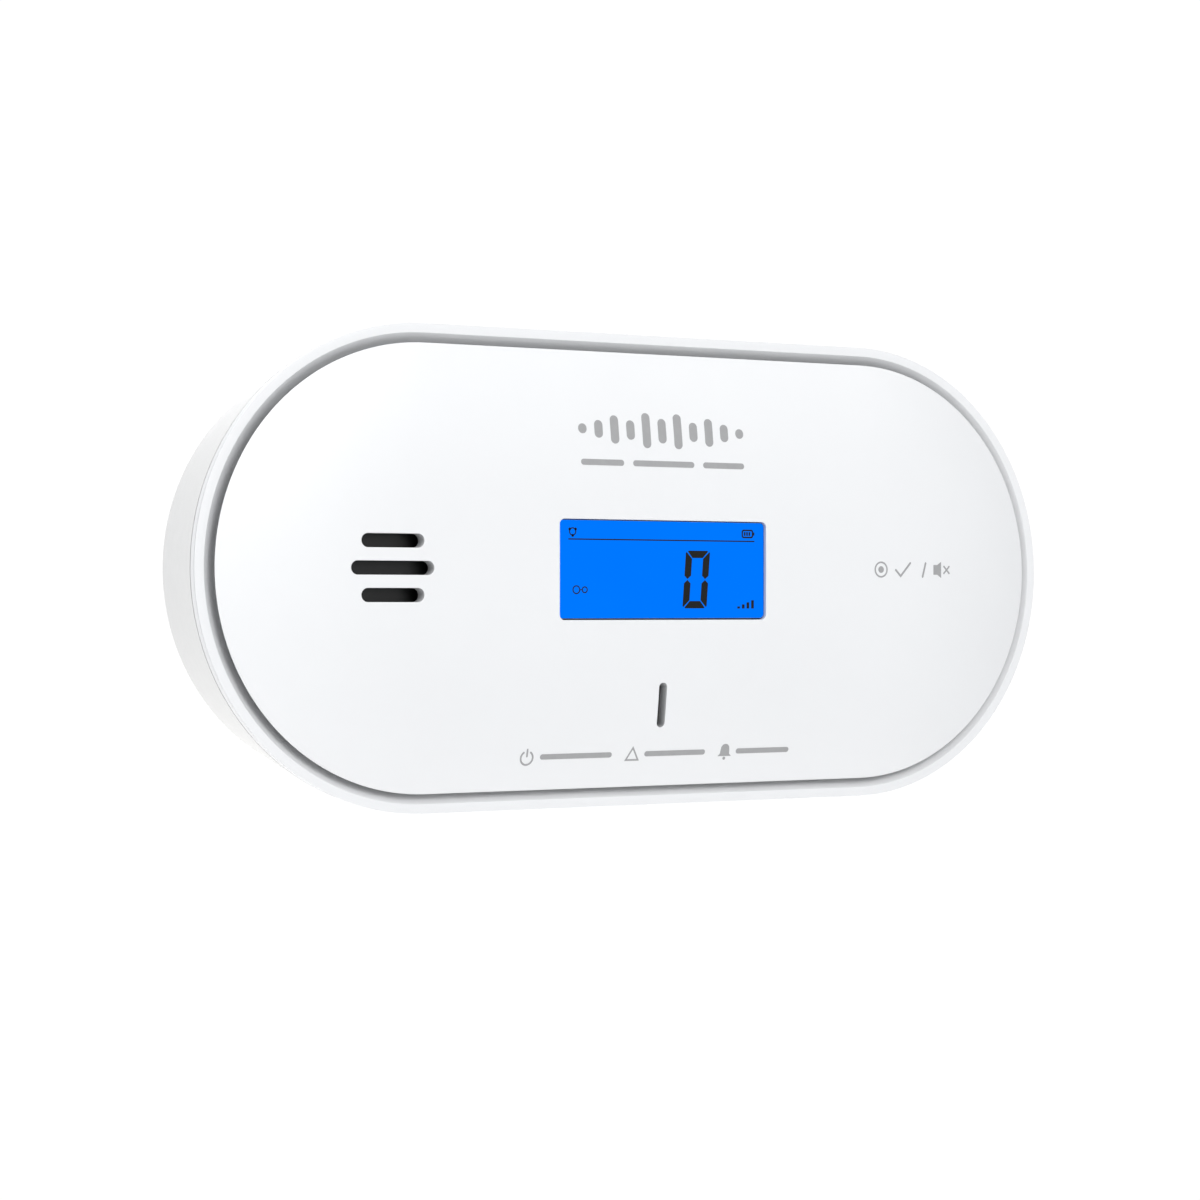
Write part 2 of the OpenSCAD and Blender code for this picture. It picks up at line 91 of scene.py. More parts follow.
face_r = plate_high.y                   # end radius of the front plate
spine = plate_high.x - face_r           # half of the distance between the centres of the round ends
crown_top = plate_high.z
crown_h = 3.5
crown_power = 3
plate_t = 2
undercut = 1.9                          # how far the plate's underside draws in from its edge

rim_out_r = front_high.y
rim_z = front_high.z
seam_r = rear_high.y
seam_z = rear_high.z
seam_w = 0.19
plinth_z = rear_low.z
plinth_r = 24.4
shoulder_z = 9
shoulder_r = 30.05
wall = 2
floor_z = plinth_z + wall
deck_z0, deck_z1 = 23.9, 25.4           # back and front of the deck behind the plate

window_w = glass_high.x - glass_low.x + 0.2
window_h = glass_high.y - glass_low.y + 0.2
sound_x = (cup_low.x + cup_high.x) / 2
slot_w = 1.9
slot_pitch = 3.67
slot_lengths = [9.3, 12.3, 9.3]
led_y = (bar_low.y + bar_high.y) / 2
led_slot_l, led_slot_w = 6.35, 1.3
pivot_x, pivot_z = -59.5, 27.4
switch_x = (switch_low.x + switch_high.x) / 2
catch_x, catch_y, catch_w = 57, 12, 6

bay_x, bay_y, bay_wall, bay_top = 27.5, 15.2, 1.4, 19.8
pocket_y, pocket_z = -19.3, 6.6         # the door's hinge lies in a pocket below the bay
door_axis_y, door_axis_z = -17.3, 4.8
door_top, door_in_z = 15, 4.9
hook_x, hook_w, hook_tops = 46.5, 6, (8, -7)
post_x, post_y = 30, 27.2               # housing screws
board_post_x, board_post_y = 34, 18.5   # board screws


def crown(x, y):
    """Height of the front plate's surface."""
    d = math.hypot(max(abs(x) - spine, 0), y)
    return crown_top - crown_h * (d / face_r) ** crown_power


# ---------------- outlines and mesh building


def turned(point, angle):
    """A flat point turned about the origin."""
    c, s = math.cos(angle), math.sin(angle)
    return Vector((point[0] * c - point[1] * s, point[0] * s + point[1] * c))


def arc(cx, cy, r, start, end, steps=24):
    turns = [math.radians(start + (end - start) * i / steps) for i in range(steps + 1)]
    return [(cx + r * math.cos(a), cy + r * math.sin(a)) for a in turns]


def circle(cx, cy, r, steps=32):
    return arc(cx, cy, r, 0, 360, steps)[:-1]


def outline(loop, grow=0.0, corner_steps=16, step=math.inf):
    """Points, counter-clockwise, of a rounded outline: loop is (centre x, centre y, half width and half
    height of its core rectangle, radius). Straight stretches are cut into lengths of at most step."""
    cx, cy, hx, hy, r = loop
    r = r + grow
    points = []
    for start, sx, sy, straight in ((0, 1, 1, hx), (90, -1, 1, hy), (180, -1, -1, hx), (270, 1, -1, hy)):
        points += arc(cx + sx * hx, cy + sy * hy, r, start, start + 90, corner_steps)
        if straight == 0:
            points.pop()
            continue
        corner_x, corner_y = points[-1]
        pieces = math.ceil(2 * straight / step)
        turn = math.radians(start + 90)
        for i in range(1, pieces):
            along = 2 * straight * i / pieces
            points.append((corner_x - math.sin(turn) * along, corner_y + math.cos(turn) * along))
    return points


def outside(loop, x, y):
    """How far a point lies outside a loop; negative inside it."""
    cx, cy, hx, hy, r = loop
    return math.hypot(max(abs(x - cx) - hx, 0), max(abs(y - cy) - hy, 0)) - r


def pill(r):
    return (0, 0, spine, 0, r)


def slot(cx, cy, length, width, upright=False):
    half = (length - width) / 2
    return (cx, cy, 0, half, width / 2) if upright else (cx, cy, half, 0, width / 2)


def rectangle(cx, cy, w, h, r):
    return (cx, cy, w / 2 - r, h / 2 - r, r)


def bridge(bm, ring, following):
    for i in range(len(ring)):
        j = (i + 1) % len(ring)
        bm.faces.new((ring[i], ring[j], following[j], following[i]))


def fill(bm, boundaries, height, keep, spacing=None):
    """Triangles between closed boundaries of (point, vertex) pairs, at a height given by a function. keep
    says whether a place belongs to the filled area. With a spacing, inner points are added."""
    flat, owners, edges = [], [], []
    for boundary in boundaries:
        first = len(flat)
        count = len(boundary)
        flat += [Vector(point) for point, _ in boundary]
        owners += [vertex for _, vertex in boundary]
        edges += [(first + i, first + (i + 1) % count) for i in range(count)]
    if spacing:
        low_x, high_x = min(p.x for p in flat), max(p.x for p in flat)
        low_y, high_y = min(p.y for p in flat), max(p.y for p in flat)
        row_pitch = spacing * 0.866     # rows of nearly even triangles
        margin = 0.55 * spacing
        for row in range(math.ceil((high_y - low_y) / row_pitch) + 1):
            for column in range(math.ceil((high_x - low_x) / spacing) + 1):
                x = low_x + spacing * (column + 0.5 * (row % 2))
                y = low_y + row_pitch * row
                if keep(x, y, margin):
                    flat.append(Vector((x, y)))
    inside_only, closest = 1, 1e-6
    points, _, faces, origins, _, _ = delaunay_2d_cdt(flat, edges, [], inside_only, closest)
    vertices = []
    for point, origin in zip(points, origins):
        known = [i for i in origin if i < len(owners)]
        vertices.append(owners[known[0]] if known else bm.verts.new(at(*point, height(*point))))
    for face in faces:
        centre = sum((points[i] for i in face), Vector((0, 0))) / len(face)
        if keep(*centre, 0):
            bm.faces.new([vertices[i] for i in face])


def edge_rings(top_round, bottom_round, steps=6, draw=0.0, support=0.12):
    """The edge of a sheet from its top to its underside: (surface, way into the material, way down from
    or up to that surface). draw is how far the underside draws in."""
    quarter = [math.radians(90 * i / steps) for i in range(steps + 1)]
    rings = [("top", top_round + support, 0)]
    rings += [("top", top_round * (1 - math.sin(a)), top_round * (1 - math.cos(a))) for a in quarter]
    rings += [
        ("bottom", draw + bottom_round * (1 - math.sin(a)), bottom_round * (1 - math.cos(a)))
        for a in reversed(quarter)
    ]
    return rings + [("bottom", draw + bottom_round + support, 0)]


def sheet_with_holes(bm, outer, holes, top, bottom, spacing, corner_steps=(40, 10), step=1.2):
    """A closed sheet between two surfaces. outer and each hole are (loop, rings)."""
    slack = 1e-4
    caps = {"first": [], "last": []}
    for index, (loop, rings) in enumerate([outer] + holes):
        side = -1 if index == 0 else 1
        made = []
        for surface_name, inwards, way in rings:
            ring = outline(loop, side * inwards, corner_steps[min(index, 1)], step)
            if surface_name == "top":
                made.append([(p, bm.verts.new(at(*p, top(*p) - way))) for p in ring])
            else:
                made.append([(p, bm.verts.new(at(*p, bottom(*p) + way))) for p in ring])
        for ring, following in zip(made, made[1:]):
            bridge(bm, [v for _, v in ring], [v for _, v in following])
        caps["first"].append((made[0], rings[0][1]))
        caps["last"].append((made[-1], rings[-1][1]))
    for which, height in (("first", top), ("last", bottom)):
        offsets = [offset for _, offset in caps[which]]

        def keep(x, y, margin):
            if outside(outer[0], x, y) > -offsets[0] - margin + slack:
                return False
            return all(
                outside(hole[0], x, y) > offset + margin - slack for hole, offset in zip(holes, offsets[1:])
            )

        fill(bm, [ring for ring, _ in caps[which]], height, keep, spacing)


def rounded(profile, steps=5):
    """A profile of (radius, z, fillet) corners as (radius, z) points, with the filleted ones as arcs."""
    longest_share = 0.49                # of a side, that one fillet may take
    points = []
    for i, (r, z, fillet) in enumerate(profile):
        here = Vector((r, z))
        if not fillet:
            points.append(here)
            continue
        before = Vector(profile[i - 1][:2]) - here
        after = Vector(profile[(i + 1) % len(profile)][:2]) - here
        half = before.angle(after) / 2
        reach = min(fillet / math.tan(half), longest_share * before.length, longest_share * after.length)
        radius = reach * math.tan(half)
        centre = here + (before.normalized() + after.normalized()).normalized() * (radius / math.sin(half))
        start, end = here + before.normalized() * reach - centre, here + after.normalized() * reach - centre
        sweep = start.angle_signed(end)
        points += [centre + turned(start, -sweep * k / steps) for k in range(steps + 1)]
    return points


def pill_loft(bm, profile, end_steps=48):
    """A closed solid whose (radius, z) profile, from spine to spine, follows the pill outline."""
    rings = []
    for r, z in profile:
        ring = outline(pill(max(r, 0)), 0, end_steps)
        rings.append([bm.verts.new(at(*p, z)) for p in ring])
    for ring, following in zip(rings, rings[1:]):
        bridge(bm, ring, following)
    bmesh.ops.remove_doubles(bm, verts=bm.verts, dist=WELD)
    bmesh.ops.dissolve_degenerate(bm, edges=bm.edges, dist=WELD)


def extrude(bm, near, far):
    """A closed solid between two matching outlines."""
    low = [bm.verts.new(point) for point in near]
    high = [bm.verts.new(point) for point in far]
    bridge(bm, low, high)
    bm.faces.new(high)
    bm.faces.new(list(reversed(low)))


def prism(bm, points, z0, z1):
    extrude(bm, [at(*p, z0) for p in points], [at(*p, z1) for p in points])


def block(bm, low, high):
    x0, y0, z0 = low
    x1, y1, z1 = high
    prism(bm, [(x0, y0), (x1, y0), (x1, y1), (x0, y1)], z0, z1)


def lathe(bm, start, end, profile, steps=48):
    """A solid turned about the line from start to end; profile is (share of the way along, radius)."""
    a, b = at(*start), at(*end)
    axis = (b - a).normalized()
    side = axis.orthogonal().normalized()
    other = axis.cross(side)
    rings = []
    for share, r in profile:
        centre = a.lerp(b, share)
        if r == 0:
            rings.append([bm.verts.new(centre)])
            continue
        rings.append([
            bm.verts.new(centre + (side * math.cos(t) + other * math.sin(t)) * r * MM)
            for t in (2 * math.pi * i / steps for i in range(steps))
        ])
    for ring, following in zip(rings, rings[1:]):
        for i in range(steps):
            j = (i + 1) % steps
            if len(ring) == 1:
                bm.faces.new((ring[0], following[j], following[i]))
            elif len(following) == 1:
                bm.faces.new((ring[i], ring[j], following[0]))
            else:
                bm.faces.new((ring[i], ring[j], following[j], following[i]))
    if len(rings[0]) > 1:
        bm.faces.new(list(reversed(rings[0])))
    if len(rings[-1]) > 1:
        bm.faces.new(rings[-1])


def rod(bm, start, end, r, end_r=None):
    lathe(bm, start, end, [(0, r), (1, r if end_r is None else end_r)], 40)


# ---------------- pieces


def make_object(name, bm, sharp_deg=32):
    bmesh.ops.recalc_face_normals(bm, faces=bm.faces)
    mesh = bpy.data.meshes.new(name)
    bm.to_mesh(mesh)
    bm.free()
    for polygon in mesh.polygons:
        polygon.use_smooth = True
    mesh.set_sharp_from_angle(angle=math.radians(sharp_deg))
    obj = bpy.data.objects.new(name, mesh)
    bpy.context.scene.collection.objects.link(obj)
    return obj


def combine(obj, draw_tool, operation):
    """Cuts or joins a solid that draw_tool draws, and keeps the result as the object's own mesh."""
    tool_bm = bmesh.new()
    draw_tool(tool_bm)
    tool = make_object(obj.name + "_tool", tool_bm)
    modifier = obj.modifiers.new("combine", "BOOLEAN")
    modifier.operation = operation
    modifier.solver = "EXACT"
    modifier.use_self = True
    modifier.object = tool
    replace_with_result(obj)
    bpy.data.objects.remove(tool)


def replace_with_result(obj):
    shape = bpy.data.meshes.new_from_object(obj.evaluated_get(bpy.context.evaluated_depsgraph_get()))
    obj.modifiers.clear()
    obj.data = shape
    bm = bmesh.new()
    bm.from_mesh(shape)
    bmesh.ops.remove_doubles(bm, verts=bm.verts, dist=CUT_WELD)
    bmesh.ops.dissolve_degenerate(bm, edges=bm.edges, dist=CUT_WELD)
    bm.to_mesh(shape)
    bm.free()


def soften(obj, width, angle_deg=40, segments=2):
    """Small round-overs along the sharp edges."""
    modifier = obj.modifiers.new("soften", "BEVEL")
    modifier.width = width * MM
    modifier.segments = segments
    modifier.limit_method = "ANGLE"
    modifier.angle_limit = math.radians(angle_deg)
    modifier.harden_normals = True
    modifier.use_clamp_overlap = True


def finish_piece(obj, body, look, stands_for=()):
    """Gives a piece its material and the body that it rides on, and hides the CAD nodes that it stands for.
    """
    obj.data.materials.clear()
    obj.data.materials.append(finish[look])
    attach(obj, body)
    if stands_for:
        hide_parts(*stands_for)


# ---------------- materials


noise_low, noise_high = 0.3, 0.7        # nearly all of a noise texture's values lie between these


def noise(tree, scale, detail, roughness=0.5):
    place = tree.nodes.new("ShaderNodeTexCoord")
    texture = tree.nodes.new("ShaderNodeTexNoise")
    texture.inputs["Scale"].default_value = scale
    texture.inputs["Detail"].default_value = detail
    texture.inputs["Roughness"].default_value = roughness
    tree.links.new(place.outputs["Object"], texture.inputs["Vector"])
    return texture.outputs["Fac"]


def drifting(tree, colour, spread, scale, detail):
    """A colour that is a little darker and lighter in patches."""
    node = tree.nodes.new("ShaderNodeValToRGB")
    dark, light = node.color_ramp.elements
    dark.position, dark.color = noise_low, (*shade(colour, 1 - spread), 1)
    light.position, light.color = noise_high, (*shade(colour, 1 + spread), 1)
    tree.links.new(noise(tree, scale, detail), node.inputs["Fac"])
    return node.outputs["Color"]


def span(tree, value, low, high):
    """A noise value brought to the range from low to high."""
    node = tree.nodes.new("ShaderNodeMapRange")
    node.inputs["From Min"].default_value = noise_low
    node.inputs["From Max"].default_value = noise_high
    node.inputs["To Min"].default_value = low
    node.inputs["To Max"].default_value = high
    tree.links.new(value, node.inputs["Value"])
    return node.outputs["Result"]


def bump(tree, shader, height, depth_mm):
    node = tree.nodes.new("ShaderNodeBump")
    node.inputs["Distance"].default_value = depth_mm * MM
    tree.links.new(height, node.inputs["Height"])
    tree.links.new(node.outputs["Normal"], shader.inputs["Normal"])


def shade(colour, share):
    return tuple(min(c * share, 1.0) for c in colour)


def new_shader(name):
    material = bpy.data.materials.new(name)
    material.use_nodes = True
    return material, material.node_tree, material.node_tree.nodes["Principled BSDF"]


def surface(name, colour, rough, spread, cloud, grain, depth, metallic=0.0, coat=0.0, specular=0.5):
    """A moulded, painted or metal surface: slow drift in its colour, finer one in its gloss, fine grain."""
    material, tree, shader = new_shader(name)
    shader.inputs["Metallic"].default_value = metallic
    shader.inputs["Coat Weight"].default_value = coat
    shader.inputs["Specular IOR Level"].default_value = specular
    tree.links.new(drifting(tree, colour, spread, cloud, 4.0), shader.inputs["Base Color"])
    fine = noise(tree, grain, 2.0, 0.6)
    rough_spread, least, most = 0.06, 0.02, 1.0
    gloss = span(tree, fine, max(rough - rough_spread, least), min(rough + rough_spread, most))
    tree.links.new(gloss, shader.inputs["Roughness"])
    bump(tree, shader, fine, depth)
    return material


def glowing(name, colour):
    """A lit display film: its glow drifts a little, as a backlight's does."""
    material, tree, shader = new_shader(name)
    shader.inputs["Base Color"].default_value = (0.0, 0.005, 0.02, 1)
    shader.inputs["Roughness"].default_value = 0.6
    shader.inputs["Specular IOR Level"].default_value = 0.0
    shader.inputs["Emission Strength"].default_value = 1.0
    tree.links.new(drifting(tree, colour, 0.015, 90.0, 2.0), shader.inputs["Emission Color"])
    return material


WHITE = (0.80, 0.805, 0.815)

# name: colour, roughness, drift of the colour, scale of the drift, scale of the grain, depth of the
# grain in millimetres, and what else the surface has
SURFACES = {
    "shell_white": (WHITE, 0.46, 0.006, 40, 4200, 0.0035, {}),
    # painted shade: a greyer copy of the face's white, for the shade on the walls of the plate's openings
    "painted_shade_wall": (shade(WHITE, 0.65), 0.6, 0.02, 300, 3000, 0.006, {}),
    "side_white": ((0.762, 0.760, 0.756), 0.55, 0.012, 700, 3000, 0.009, {}),
    "bracket_white": (shade(WHITE, 0.97), 0.5, 0.01, 60, 3000, 0.006, {}),
    "print_grey": ((0.345, 0.345, 0.35), 0.5, 0.03, 900, 6000, 0.002, {}),
    "display_mark": ((0.013, 0.013, 0.013), 0.6, 0.1, 900, 5000, 0.001, {"specular": 0.1}),
    "display_glass": ((0.30, 0.36, 0.38), 0.12, 0.02, 90, 2500, 0.0005, {"coat": 0.4}),
    "holder_white": ((0.72, 0.73, 0.74), 0.5, 0.02, 120, 3500, 0.004, {}),
    "clear_plastic": ((0.62, 0.66, 0.68), 0.18, 0.03, 150, 2500, 0.001, {"coat": 0.3}),
    # painted shade: near-black for the light bar, which sits in shade behind the LED slot
    "painted_shade_black": ((0.01, 0.01, 0.011), 0.3, 0.05, 200, 3000, 0.001, {"specular": 0.1}),
    "led_white": ((0.80, 0.78, 0.62), 0.35, 0.03, 400, 3000, 0.002, {}),
    "elastomer": ((0.06, 0.06, 0.062), 0.75, 0.1, 400, 3500, 0.01, {}),
    "switch_black": ((0.03, 0.03, 0.03), 0.5, 0.1, 300, 3500, 0.005, {}),
    "plunger_grey": ((0.42, 0.43, 0.44), 0.45, 0.04, 300, 3500, 0.004, {}),
    "cup_black": ((0.028, 0.028, 0.029), 0.55, 0.08, 300, 3200, 0.006, {}),
    "brass": ((0.78, 0.57, 0.22), 0.3, 0.06, 300, 2500, 0.002, {"metallic": 1.0}),
    "ceramic": ((0.78, 0.76, 0.68), 0.55, 0.05, 500, 3500, 0.006, {}),
    "membrane_black": ((0.004, 0.004, 0.004), 0.36, 0.15, 300, 2600, 0.0006, {"specular": 0.62}),
    "foam": ((0.07, 0.07, 0.07), 0.95, 0.25, 900, 1600, 0.12, {}),
    "lead_red": ((0.55, 0.04, 0.03), 0.4, 0.06, 300, 3000, 0.003, {}),
    "pin_steel": ((0.56, 0.57, 0.58), 0.28, 0.05, 500, 2600, 0.003, {"metallic": 1.0}),
    "screw_steel": ((0.60, 0.60, 0.62), 0.33, 0.08, 700, 2600, 0.005, {"metallic": 1.0}),
    "sensor_steel": ((0.62, 0.62, 0.62), 0.32, 0.06, 200, 2600, 0.003, {"metallic": 1.0}),
    "filter_white": ((0.80, 0.80, 0.79), 0.9, 0.05, 700, 1800, 0.05, {}),
    "gold_pin": ((0.87, 0.65, 0.24), 0.22, 0.05, 600, 2600, 0.002, {"metallic": 1.0}),
    "led_green": ((0.05, 0.50, 0.12), 0.2, 0.08, 500, 3000, 0.001, {"coat": 0.5}),
    "led_yellow": ((0.72, 0.52, 0.03), 0.2, 0.08, 500, 3000, 0.001, {"coat": 0.5}),
    "led_red": ((0.62, 0.03, 0.03), 0.2, 0.08, 500, 3000, 0.001, {"coat": 0.5}),
    "contact_nickel": ((0.66, 0.64, 0.60), 0.27, 0.07, 300, 2600, 0.003, {"metallic": 1.0}),
    "chip_black": ((0.022, 0.022, 0.023), 0.6, 0.1, 400, 2600, 0.006, {}),
    "can_blue": ((0.02, 0.035, 0.12), 0.3, 0.08, 300, 2600, 0.002, {"coat": 0.4}),
    "ferrite": ((0.05, 0.045, 0.042), 0.7, 0.15, 900, 2600, 0.012, {}),
    "crystal_can": ((0.68, 0.68, 0.70), 0.25, 0.05, 300, 2600, 0.002, {"metallic": 1.0}),
    "component_brown": ((0.28, 0.19, 0.11), 0.55, 0.2, 300, 2600, 0.005, {}),
    "cell_jacket": ((0.035, 0.055, 0.075), 0.28, 0.06, 120, 2200, 0.002, {"coat": 0.4}),
    "cell_band": ((0.55, 0.30, 0.13), 0.3, 0.06, 120, 2200, 0.002, {"metallic": 0.8, "coat": 0.3}),
}


def board_material():
    """Green solder mask over a pattern of copper tracks."""
    material, tree, shader = new_shader("board_green")
    shader.inputs["Coat Weight"].default_value = 0.35
    place = tree.nodes.new("ShaderNodeTexCoord")
    tracks = tree.nodes.new("ShaderNodeTexBrick")
    tracks.inputs["Scale"].default_value = 260
    tracks.inputs["Mortar Size"].default_value = 0.04
    tracks.inputs["Color1"].default_value = (0.008, 0.10, 0.035, 1)
    tracks.inputs["Color2"].default_value = (0.010, 0.13, 0.045, 1)
    tracks.inputs["Mortar"].default_value = (0.03, 0.24, 0.09, 1)
    upright = tree.nodes.new("ShaderNodeMapping")
    upright.inputs["Rotation"].default_value = (math.radians(90), 0, 0)
    tree.links.new(place.outputs["Object"], upright.inputs["Vector"])
    tree.links.new(upright.outputs["Vector"], tracks.inputs["Vector"])
    tree.links.new(tracks.outputs["Color"], shader.inputs["Base Color"])
    gloss = span(tree, noise(tree, 2500, 2.0), 0.28, 0.42)
    tree.links.new(gloss, shader.inputs["Roughness"])
    bump(tree, shader, tracks.outputs["Fac"], 0.01)
    return material


finish = {name: surface(name, *numbers, **others) for name, (*numbers, others) in SURFACES.items()}
finish["display_blue"] = glowing("display_blue", (0.0, 0.182, 1.0))
finish["board_green"] = board_material()


# ---------------- front plate

plate_holes = [rectangle(0, -0.05, window_w, window_h + 0.1, 0.8)]     # the window reaches a little lower
plate_holes += [slot(sound_x, (1 - i) * slot_pitch, slot_lengths[i], slot_w) for i in range(3)]
plate_holes += [slot(0, led_y, led_slot_l, led_slot_w, upright=True)]


def draw_plate_fixings(bm):
    """Pivot lugs, switch post and catches on the plate's underside."""
    lug_r, lug_y, lug_w = 1.7, 7.75, 3.5
    under = 30.6
    lug = arc(pivot_x, pivot_z, lug_r, 180, 360, 16) + [(pivot_x + lug_r, under), (pivot_x - lug_r, under)]
    catch = [
        (catch_x - 1, under), (catch_x - 1, 22.2), (catch_x + 1, 22.2), (catch_x + 3, 23.2),
        (catch_x + 3, 23.75), (catch_x + 1, 23.75), (catch_x + 1, under),
    ]
    for side in (-1, 1):
        for section, middle, width in ((lug, lug_y, lug_w), (catch, catch_y, catch_w)):
            y0, y1 = side * middle - width / 2, side * middle + width / 2
            extrude(bm, [at(x, y0, z) for x, z in section], [at(x, y1, z) for x, z in section])
    lathe(bm, (switch_x, 0, 28), (switch_x, 0, 31.3), [(0, 1.9), (0.1, 2.2), (1, 2.4)])


def paint_shade_on_opening_walls(shell):
    """Painted shade: the walls of the openings get a greyer copy of the face's white, for the shade inside
    them.
    """
    reach, steep = 0.05, 0.5
    # the greyer material is painted shade on the opening walls
    shell.data.materials.append(finish["painted_shade_wall"])
    for polygon in shell.data.polygons:
        x, y = polygon.center.x / MM, polygon.center.z / MM
        in_hole = any(abs(outside(loop, x, y)) < reach for loop in plate_holes)
        if in_hole and abs(polygon.normal.y) < steep:
            polygon.material_index = 1


def build_front_plate():
    bm = bmesh.new()
    outer = (pill(face_r), edge_rings(0.12, 0.2, draw=undercut))
    holes = [(loop, edge_rings(0.08, 0.08, steps=4)) for loop in plate_holes]
    sheet_with_holes(bm, outer, holes, crown, lambda x, y: crown(x, y) - plate_t, spacing=1.6)
    shell = make_object("front_plate_shell", bm, 35)
    finish_piece(shell, "plate", "shell_white", ["front_plate"])
    paint_shade_on_opening_walls(shell)
    bm = bmesh.new()
    draw_plate_fixings(bm)
    fixings = make_object("front_plate_fixings", bm, 35)
    soften(fixings, 0.2)
    finish_piece(fixings, "plate", "shell_white")


# ---------------- housings


def draw_deck_openings(bm):
    """Cut-outs of the deck for the display, LEDs, switch, sounder, catches and the sensor's vents."""
    low, high = deck_z0 - 1, deck_z1 + 1

    def opening(cx, cy, half_w, half_h):
        block(bm, (cx - half_w, cy - half_h, low), (cx + half_w, cy + half_h, high))

    opening(0, 0, 18.8, 8.6)
    opening(0, led_y, 3.2, 4.6)
    opening(switch_x, 0, 4, 4)
    rod(bm, (sound_x, 0, low), (sound_x, 0, high), 5)
    for y in (-catch_y, catch_y):
        opening(catch_x + 0.05, y, 1.45, 3.4)
        for i in range(6):
            prism(bm, outline(slot(27 + 4 * i, y, 7, 1.6, upright=True), 0, 6), low, high)


def front_profile():
    """Section of the front housing: back of the deck, skirt, outer wall, fine line under the corner of
    the rim, rim, channel round the plate and front of the deck."""
    skirt_r, skirt_in_r, skirt_z = 31.8, 30, 24.7
    line_top, line_low, line_in, line_deep = rim_z - 0.13, rim_z - 0.28, rim_z - 0.5, rim_out_r - 0.4
    back = [
        (0, deck_z0, 0), (skirt_in_r, deck_z0, 0.2), (skirt_in_r, skirt_z, 0), (skirt_r, skirt_z, 0.2),
        (skirt_r, seam_z, 0), (seam_r, seam_z, 0),
    ]
    line = [
        (rim_out_r - 0.02, line_low, 0), (rim_out_r - 0.045, line_low, 0), (rim_out_r - 0.1, line_in, 0),
        (line_deep, line_in, 0), (line_deep, line_top, 0), (rim_out_r, line_top, 0),
    ]
    rim = [(rim_out_r, rim_z, 0.05), (32.2, rim_z, 0.08)]
    channel = [(31, 27.6, 0.6), (29.6, 26, 1.2), (28.6, deck_z1, 0.8), (0, deck_z1, 0)]
    return back + line + rim + channel


def build_front_housing():
    bm = bmesh.new()
    pill_loft(bm, rounded(front_profile()))
    housing = make_object("front_housing_shell", bm, 40)
    combine(housing, draw_deck_openings, "DIFFERENCE")
    finish_piece(housing, "unit", "shell_white", ["front_housing"])


def build_front_posts():
    """Posts that the housing screws bite into, bosses above the board's stand-offs, and the pivot's rib."""
    rib_x0, rib_x1, rib_half_l = pivot_x - 1.7, pivot_x + 1.7, 5.6
    bm = bmesh.new()
    for sx in (-1, 1):
        for sy in (-1, 1):
            x, y = sx * post_x, sy * post_y
            rod(bm, (x, y, 22), (x, y, deck_z0 + 0.2), 2.6)
            x, y = sx * board_post_x, sy * board_post_y
            rod(bm, (x, y, deck_z0 - 0.45), (x, y, 28), 2.6, 2.4)
    block(bm, (rib_x0, -rib_half_l, deck_z1 - 0.1), (rib_x1, rib_half_l, pivot_z))
    posts = make_object("front_housing_posts", bm, 40)
    soften(posts, 0.2)
    finish_piece(posts, "unit", "shell_white")


def draw_bay_mouth(bm):
    """Opening in the plinth under the battery bay and the hinge pocket."""
    block(bm, (-bay_x, pocket_y, plinth_z - 1), (bay_x, bay_y, floor_z + 0.1))


def draw_back_openings(bm):
    """Notch for the door's lip, slots for the bracket's hooks, vents and screw recesses."""
    low = plinth_z - 1
    block(bm, (-5.4, bay_y - 0.3, low), (5.4, door_top + 1.5, floor_z - 0.1))
    shoulder_low, shoulder_high = shoulder_z - 1, shoulder_z + wall + 0.1
    vent_r, vent_turn = 26.6, 14
    half_hook = hook_w / 2 + 0.4
    for side in (-1, 1):
        for top in hook_tops:
            x = side * hook_x
            block(bm, (x - half_hook, top - 9.6, low), (x + half_hook, top, floor_z + 0.1))
        for i in range(-3, 4):
            turn = math.radians(vent_turn * i + (0 if side > 0 else 180))
            centre = Vector((side * spine, 0)) + turned((vent_r, 0), turn)
            vent = [centre + turned(p, turn) for p in outline(slot(0, 0, 3.6, 1.5), 0, 6)]
            prism(bm, vent, shoulder_low, shoulder_high)
        for up in (-1, 1):
            x, y = side * post_x, up * post_y
            rod(bm, (x, y, shoulder_low), (x, y, shoulder_high), 2.1)


def rear_profile():
    """Section of the rear housing: plinth, shoulder, side wall, seam, mouth for the front housing's skirt
    and the inner faces."""
    mouth_r, mouth_in_r, mouth_z = 31.9, 30.7, 24.5
    seam_low, seam_bend, seam_deep = seam_z - seam_w, seam_z - 0.7, seam_r - 0.85
    outside_wall = [
        (0, plinth_z, 0), (plinth_r, plinth_z, 0.6), (plinth_r, shoulder_z, 0.5),
        (shoulder_r, shoulder_z, 0.9),
    ]
    seam = [
        (seam_r, seam_low, 0), (seam_r - 0.04, seam_low, 0), (seam_r - 0.1, seam_bend, 0),
        (seam_deep, seam_bend, 0), (seam_deep, seam_z, 0),
    ]
    mouth = [(mouth_r, seam_z, 0), (mouth_r, mouth_z, 0), (mouth_in_r, mouth_z, 0.4)]
    inside_wall = [
        (shoulder_r - wall, shoulder_z + wall, 0.5), (plinth_r - wall, shoulder_z + wall, 0.4),
        (plinth_r - wall, floor_z, 0.4), (0, floor_z, 0),
    ]
    return outside_wall + seam + mouth + inside_wall


def build_rear_housing():
    bm = bmesh.new()
    pill_loft(bm, rounded(rear_profile()))
    housing = make_object("rear_housing_shell", bm, 40)
    combine(housing, draw_bay_mouth, "DIFFERENCE")
    combine(housing, draw_back_openings, "DIFFERENCE")
    finish_piece(housing, "unit", "side_white", ["rear_housing"])


